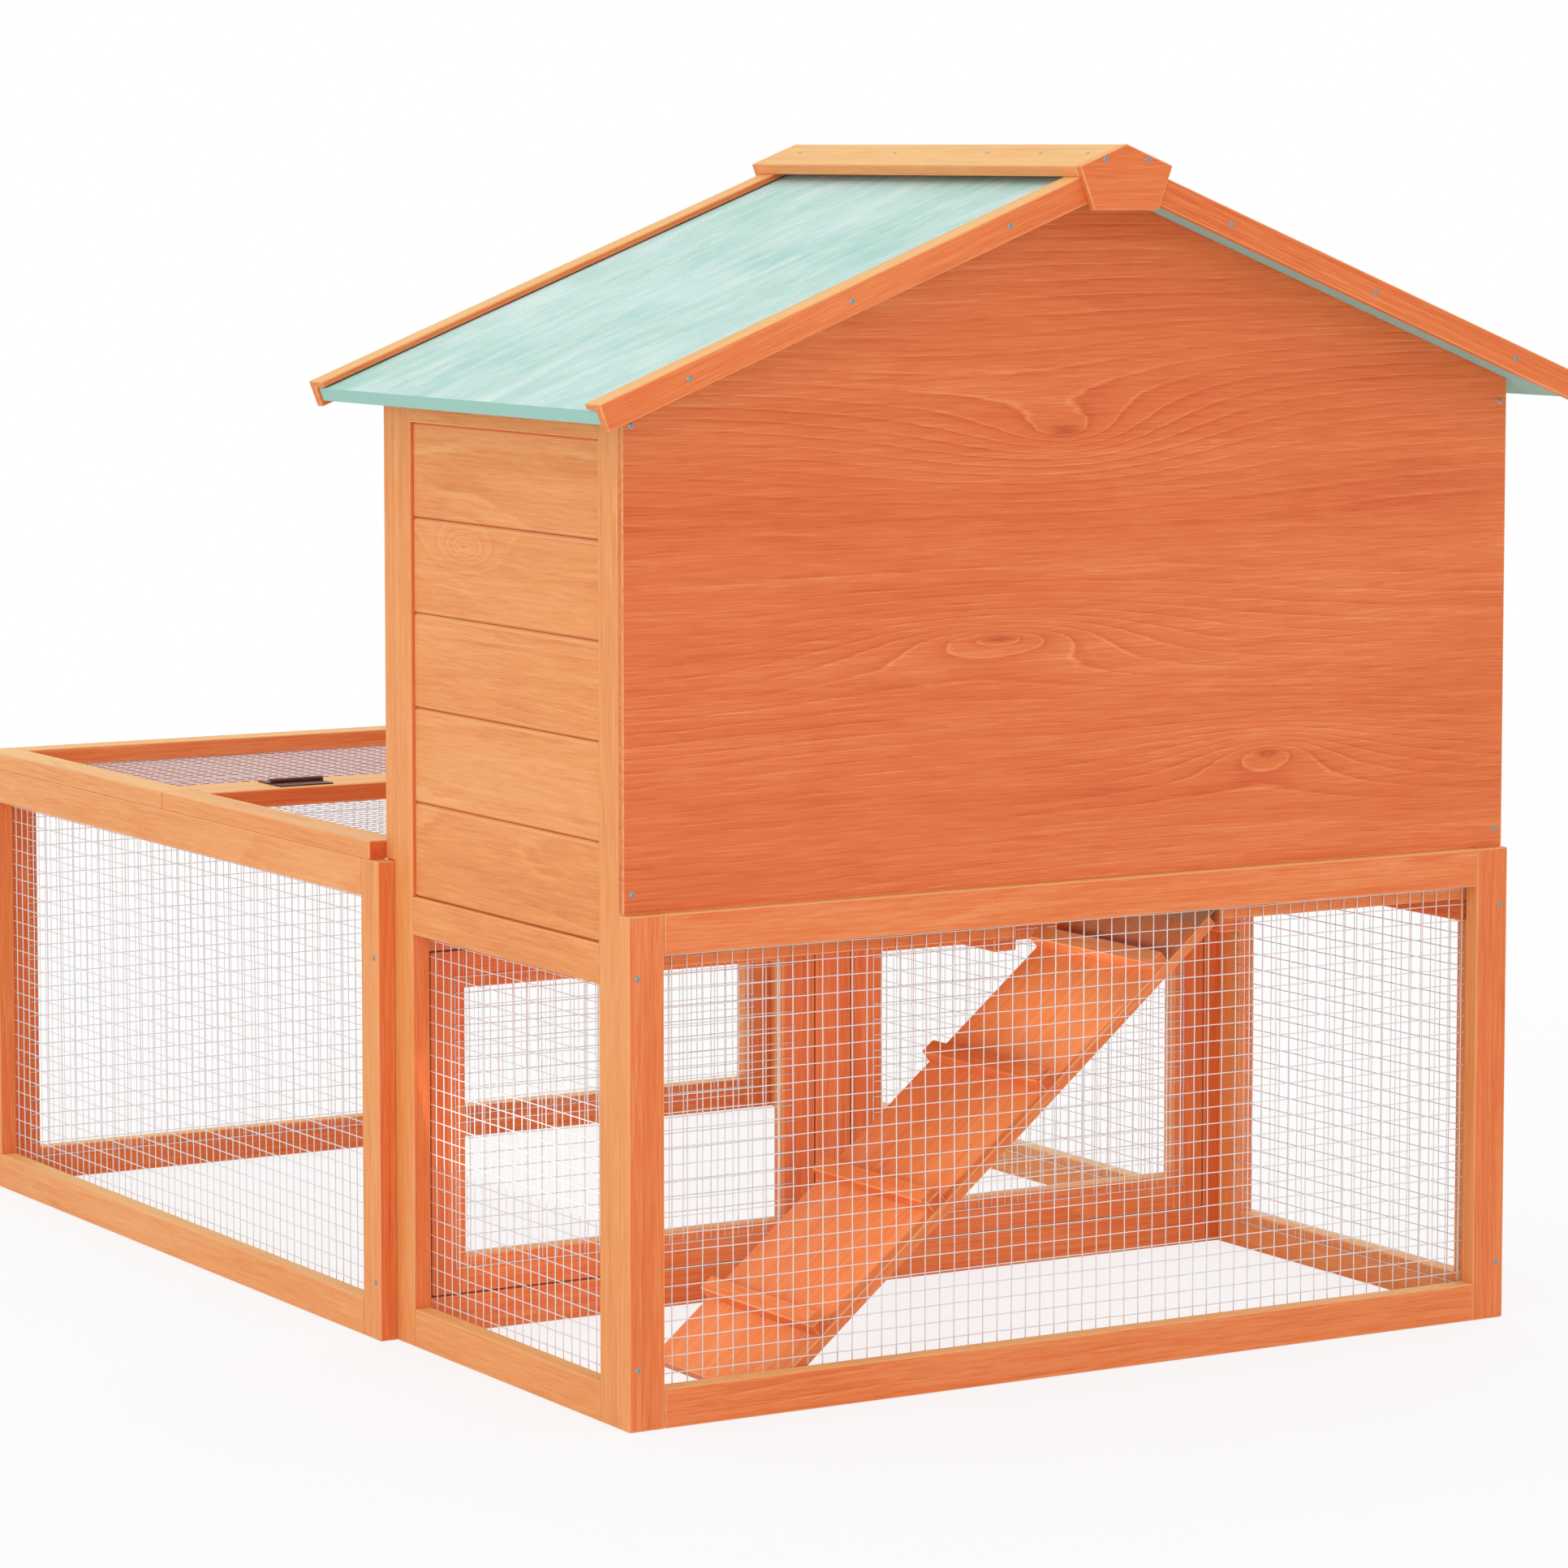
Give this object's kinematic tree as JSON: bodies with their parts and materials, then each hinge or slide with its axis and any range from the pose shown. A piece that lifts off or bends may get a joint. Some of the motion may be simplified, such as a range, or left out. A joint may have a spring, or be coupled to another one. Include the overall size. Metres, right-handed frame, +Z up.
{
  "type": "rabbit hutch with run",
  "caption": "Two-storey gabled rabbit hutch in stained wood with a felt roof, a ramp, mesh doors and a low wire run with a hinged lid.",
  "frame": {"origin": "on the ground, in the middle of the box round the whole object", "axes": "+Z up, +Y along the object from the closed back gable to the far end of the run, +X across it"},
  "size_m": [0.896, 1.2208, 0.9427],
  "materials": {
    "stained_face": "orange stained softwood with a satin finish",
    "stained_side": "lighter orange stained softwood with a satin finish",
    "stained_trim": "pale orange stained softwood",
    "floor_wood": "bare softwood",
    "roofing_felt": "pale green mineral roofing felt",
    "wire": "galvanised welded wire",
    "dark_steel": "dark bronze hinge",
    "bright_steel": "zinc plated"
  },
  "bodies": {
    "hutch": {"back_lower_frame": "stained_face", "back_mesh": "wire", "back_gable_wall": "stained_face", "left_side_frame": "stained_side", "right_side_frame": "stained_side", "left_side_boards": "stained_side", "right_side_boards": "stained_side", "left_side_mesh": "wire", "right_side_mesh": "wire", "front_lower_frame": "stained_face", "front_upper_frame": "stained_face", "front_gable_board": "stained_face", "floor_boards": "floor_wood", "floor_bearers": "floor_wood", "nest_partition": "floor_wood", "roof_deck_left": "floor_wood", "roof_deck_right": "floor_wood", "roof_felt_left": "roofing_felt", "roof_felt_right": "roofing_felt", "back_trim_left": "stained_trim", "back_trim_right": "stained_trim", "front_trim_left": "stained_trim", "front_trim_right": "stained_trim", "ridge_board_left": "stained_trim", "ridge_board_right": "stained_trim", "back_ridge_plate": "stained_trim", "front_ridge_plate": "stained_trim", "run_left_frame": "stained_side", "run_right_frame": "stained_side", "run_end_frame": "stained_face", "run_left_mesh": "wire", "run_right_mesh": "wire", "run_end_mesh": "wire", "near_lid_frame": "stained_trim", "near_lid_mesh": "wire", "lid_hinge_fixed_leaves": "dark_steel", "door_hinge_frame_leaves": "bright_steel", "ramp_hinge_floor_leaves": "bright_steel", "hinge_pins": "bright_steel", "button_pivot_screws": "bright_steel", "frame_screws": "bright_steel"},
    "far_lid": {"far_lid_frame": "stained_trim", "far_lid_mesh": "wire", "lid_hinge_moving_leaves": "dark_steel"},
    "lower_left_door": {"lower_left_door": "stained_face", "lower_left_door_mesh": "wire", "lower_left_door_leaves": "bright_steel"},
    "lower_right_door": {"lower_right_door": "stained_face", "lower_right_door_mesh": "wire", "lower_right_door_leaves": "bright_steel"},
    "upper_left_door": {"upper_left_door": "stained_face", "upper_left_door_leaves": "bright_steel"},
    "upper_right_door": {"upper_right_door": "stained_face", "upper_right_door_mesh": "wire", "upper_right_door_leaves": "bright_steel"},
    "ramp": {"ramp_board": "stained_face", "ramp_cleats": "stained_trim", "ramp_hinge_ramp_leaves": "bright_steel"},
    "upper_turn_button": {"upper_turn_button": "stained_trim"},
    "lower_turn_button": {"lower_turn_button": "stained_trim"}
  },
  "joints": [
    {"name": "far_lid_hinge", "type": "hinge", "parent": "hutch", "child": "far_lid", "pos_m": [0, 0.221, 0.3996], "axis": [1, 0, 0], "range_deg": [0, 180]},
    {"name": "lower_left_door_hinge", "type": "hinge", "parent": "hutch", "child": "lower_left_door", "pos_m": [-0.37225, -0.1694, 0.169], "axis": [0, 0, 1], "range_deg": [0, 90]},
    {"name": "lower_right_door_hinge", "type": "hinge", "parent": "hutch", "child": "lower_right_door", "pos_m": [0.37225, -0.1694, 0.169], "axis": [0, 0, -1], "range_deg": [0, 90]},
    {"name": "upper_left_door_hinge", "type": "hinge", "parent": "hutch", "child": "upper_left_door", "pos_m": [-0.37225, -0.1694, 0.5585], "axis": [0, 0, 1], "range_deg": [0, 110]},
    {"name": "upper_right_door_hinge", "type": "hinge", "parent": "hutch", "child": "upper_right_door", "pos_m": [0.37225, -0.1694, 0.5585], "axis": [0, 0, -1], "range_deg": [0, 110]},
    {"name": "ramp_hinge", "type": "hinge", "parent": "hutch", "child": "ramp", "pos_m": [0.133, -0.4589, 0.3516], "axis": [0, 1, 0], "range_deg": [0, 22]},
    {"name": "upper_turn_button_pivot", "type": "hinge", "parent": "hutch", "child": "upper_turn_button", "pos_m": [0, -0.1717, 0.5585], "axis": [0, 1, 0], "range_deg": [0, 90]},
    {"name": "lower_turn_button_pivot", "type": "hinge", "parent": "hutch", "child": "lower_turn_button", "pos_m": [0, -0.1717, 0.169], "axis": [0, 1, 0], "range_deg": [0, 90]}
  ]
}
